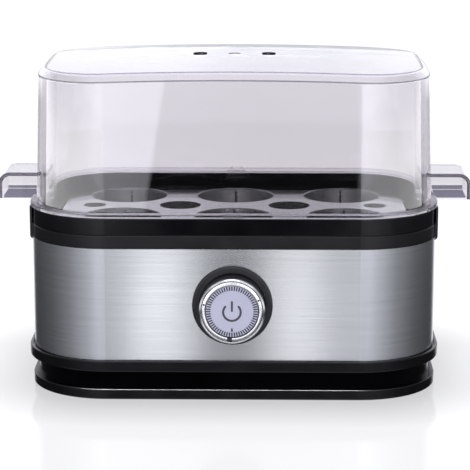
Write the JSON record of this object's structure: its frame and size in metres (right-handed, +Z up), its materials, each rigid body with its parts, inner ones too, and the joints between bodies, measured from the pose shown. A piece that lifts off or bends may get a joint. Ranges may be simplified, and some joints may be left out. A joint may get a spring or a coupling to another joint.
{
  "type": "electric egg cooker",
  "caption": "Oblong electric egg cooker: steel-clad base with a turning dial around a push button, lift-out egg tray and a tall transparent lift-off lid with end grips.",
  "frame": {"origin": "centre of the whole object's box at table level; the body's own centre lies 6.05 mm behind it because the dial stands out at the front", "axes": "+Z up, +X to the right seen from the front, front with the dial at -Y"},
  "size_m": [0.25, 0.1518, 0.1704],
  "materials": {
    "black_gloss": "gloss moulded black",
    "black_satin": "satin moulded black",
    "brushed_steel": "fine horizontal brushing",
    "smoke_clear": "transparent, light smoke tint",
    "tray_black": "gloss moulded black",
    "chrome": "bright plated",
    "mark_black": "black inlay",
    "button_grey": "satin light grey with printed tick marks",
    "spring_steel": "zinc plated",
    "rubber_black": "matt rubber",
    "silicone": "soft silicone",
    "pan_black": "black non-stick coating",
    "element_steel": "satin sheathed tube",
    "board_green": "solder mask",
    "component_black": "moulded",
    "component_light": "ceramic coloured",
    "wire_red": "sleeved wire"
  },
  "bodies": {
    "base": {"bottom_cover": "black_satin", "rubber_feet": "rubber_black", "main_housing": "black_satin", "steel_sleeve": "brushed_steel", "cord_gland": "rubber_black", "top_housing": "black_gloss", "rim_ring": "black_gloss", "boiling_pan": "pan_black", "pan_gasket": "silicone", "heating_element": "element_steel", "thermostat": "component_light", "thermal_fuse": "component_light", "control_pcb": "board_green", "dial_pot": "component_black", "tact_switch": "component_black", "buzzer": "component_black", "relay": "component_black", "terminal_block": "component_light", "dial_bearing": "component_black", "heater_leads": "wire_red", "knob_collar": "black_satin", "collar_lock_ring": "component_black", "bottom_screws": "spring_steel", "pan_screws": "spring_steel", "pcb_screws": "spring_steel"},
    "lid": {"lid": "smoke_clear"},
    "egg_tray": {"egg_tray": "tray_black"},
    "dial": {"dial_knob": "black_satin", "dial_chrome_ring": "chrome", "dial_pointer": "mark_black"},
    "power_button": {"power_button": "button_grey", "button_spring": "spring_steel", "button_clip": "spring_steel"}
  },
  "joints": [
    {"name": "lid_lift", "type": "slide", "parent": "base", "child": "lid", "axis": [0, 0, 1], "range_m": [0, 0.12]},
    {"name": "tray_lift", "type": "slide", "parent": "base", "child": "egg_tray", "axis": [0, 0, 1], "range_m": [0, 0.05]},
    {"name": "dial_turn", "type": "hinge", "parent": "base", "child": "dial", "pos_m": [0, -0.07, 0.0503], "axis": [0, 1, 0], "range_deg": [0, 270]},
    {"name": "button_press", "type": "slide", "parent": "base", "child": "power_button", "axis": [0, 1, 0], "range_m": [0, 0.0018], "stiffness_N_per_m": 400, "springref_m": -0.0006, "deforming": ["button_spring"]}
  ]
}
